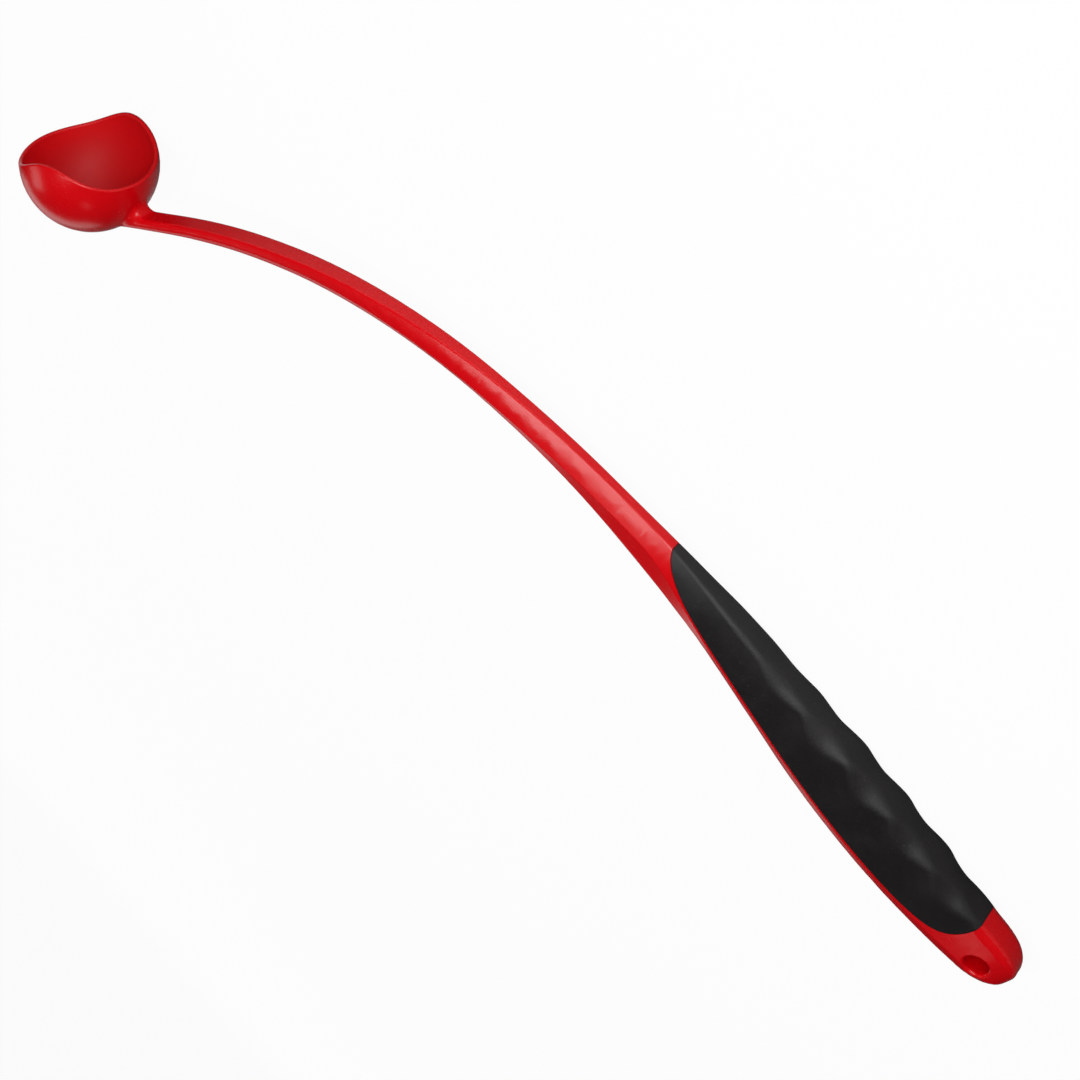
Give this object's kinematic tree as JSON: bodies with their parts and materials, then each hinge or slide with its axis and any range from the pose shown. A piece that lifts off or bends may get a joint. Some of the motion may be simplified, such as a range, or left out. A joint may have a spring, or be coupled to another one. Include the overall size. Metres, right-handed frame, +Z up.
{
  "type": "dog ball launcher stick",
  "caption": "Bowed plastic stick with an open ball cup at one end and a soft finger grip at the other, used to pick up and throw a dog's ball.",
  "frame": {"origin": "middle of the ball cup, which is the middle of a ball that sits in it", "axes": "+Z up, with the stick on its side on the ground; +X from the cup along the stick towards the butt; +Y towards the side that the cup opens to and the arm bows to"},
  "size_m": [0.6464, 0.1154, 0.0716],
  "materials": {
    "red_plastic": "glossy moulded polypropylene",
    "carrier_plastic": "plain moulded",
    "grip_rubber": "matte moulded rubber"
  },
  "bodies": {
    "root": {"launcher_body": "red_plastic", "grip_carrier": "carrier_plastic", "grip_skin": "grip_rubber"}
  },
  "joints": []
}
